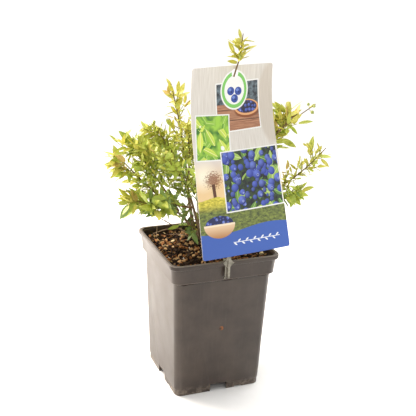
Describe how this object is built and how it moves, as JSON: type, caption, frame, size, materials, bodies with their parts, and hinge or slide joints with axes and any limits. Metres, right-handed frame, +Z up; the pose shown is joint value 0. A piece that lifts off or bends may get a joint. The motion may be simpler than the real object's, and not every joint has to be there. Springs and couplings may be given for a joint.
{
  "type": "potted blueberry bush",
  "caption": "Young leafy blueberry bush with many thin canes, in a square tapered nursery pot of compost, with a leaning picture card clipped to the front rim.",
  "frame": {"origin": "middle of the pot's flat underside, on the surface it stands on", "axes": "+Z up along the plant, -Y out of the pot's front face with the card, +X to the pot's right seen from the front"},
  "size_m": [0.2866, 0.2182, 0.4758],
  "materials": {
    "pot": "moulded grey-brown plastic, satin",
    "soil": "loose damp compost with bark chips",
    "card": "printed plastic sheet",
    "clip": "translucent grey plastic",
    "bark": "smooth young bark",
    "leaf": "fresh leaf"
  },
  "bodies": {
    "root": {"pot": "pot", "soil": "soil", "picture_card": "card", "card_clip": "clip", "cane_left": "bark", "cane_left_low": "bark", "cane_front_left": "bark", "cane_front": "bark", "cane_leader": "bark", "cane_right_low": "bark", "cane_right": "bark", "cane_back_right": "bark", "cane_back": "bark", "bough_left_second": "bark", "bough_left_inner": "bark", "bough_left_mid": "bark", "bough_left_low": "bark", "bough_front_low": "bark", "bough_front_right": "bark", "bough_centre": "bark", "bough_right_far": "bark", "bough_right_cluster": "bark", "bough_back_side": "bark", "bough_back_low": "bark", "bough_back_left": "bark", "foliage_left_leader": "leaf", "foliage_left_second": "leaf", "foliage_left_inner": "leaf", "foliage_left_mid": "leaf", "foliage_left_far": "leaf", "foliage_left_low": "leaf", "foliage_front_left": "leaf", "foliage_front_low": "leaf", "foliage_front": "leaf", "foliage_front_right": "leaf", "foliage_top": "leaf", "foliage_centre": "leaf", "foliage_right_low": "leaf", "foliage_right_far": "leaf", "foliage_right": "leaf", "foliage_right_cluster": "leaf", "foliage_back_side": "leaf", "foliage_back_right": "leaf", "foliage_back_low": "leaf", "foliage_back": "leaf", "foliage_back_left": "leaf"}
  },
  "joints": []
}
